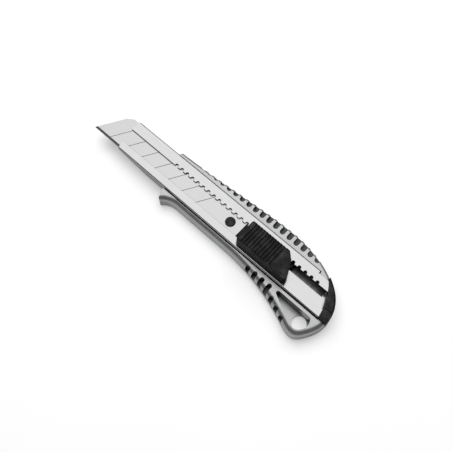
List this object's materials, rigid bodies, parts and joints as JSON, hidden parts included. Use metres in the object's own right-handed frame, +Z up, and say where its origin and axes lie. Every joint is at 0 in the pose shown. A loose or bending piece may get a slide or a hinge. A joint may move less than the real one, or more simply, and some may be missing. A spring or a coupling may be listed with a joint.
{
  "type": "utility knife",
  "caption": "Snap-off blade utility knife: cast metal handle with notched grips, bent steel blade rail, black thumb slider with spring lock, black end cap and hanging hole.",
  "frame": {"origin": "middle of the bounding box at the level of the handle's flat back", "axes": "+X from the blade's tip to the handle's tail, +Y across towards the toothed lip of the rail, +Z up from the back, on the side of the thumb slider"},
  "size_m": [0.1624, 0.041, 0.0166],
  "materials": {
    "cast_metal": "satin silver finish on a zinc die casting, very fine grain",
    "rail_steel": "bright rolled stainless sheet",
    "rivet_steel": "plain steel rivet heads",
    "blade_steel": "satin carbon steel with a dark ground edge and score lines",
    "black_plastic": "matt black moulded plastic",
    "spring_steel": "thin spring steel strip",
    "grip_plastic": "matt black moulded plastic with cross ribs"
  },
  "bodies": {
    "handle": {"handle_casting": "cast_metal", "blade_rail": "rail_steel", "rail_rivets": "rivet_steel"},
    "carriage": {"blade_carrier": "black_plastic", "blade": "blade_steel", "lock_spring": "spring_steel"},
    "knob": {"thumb_slider": "grip_plastic"},
    "cap": {"end_cap": "black_plastic"}
  },
  "joints": [
    {"name": "slider_travel", "type": "slide", "parent": "handle", "child": "carriage", "axis": [-1, 0, 0], "range_m": [-0.0192, 0.0576], "deforming": ["lock_spring"]},
    {"name": "knob_release", "type": "slide", "parent": "carriage", "child": "knob", "axis": [-1, 0, 0], "range_m": [-0.0008, 0.0008], "stiffness_N_per_m": 1500},
    {"name": "cap_pull", "type": "slide", "parent": "handle", "child": "cap", "axis": [1, 0, 0], "range_m": [0, 0.014]}
  ]
}
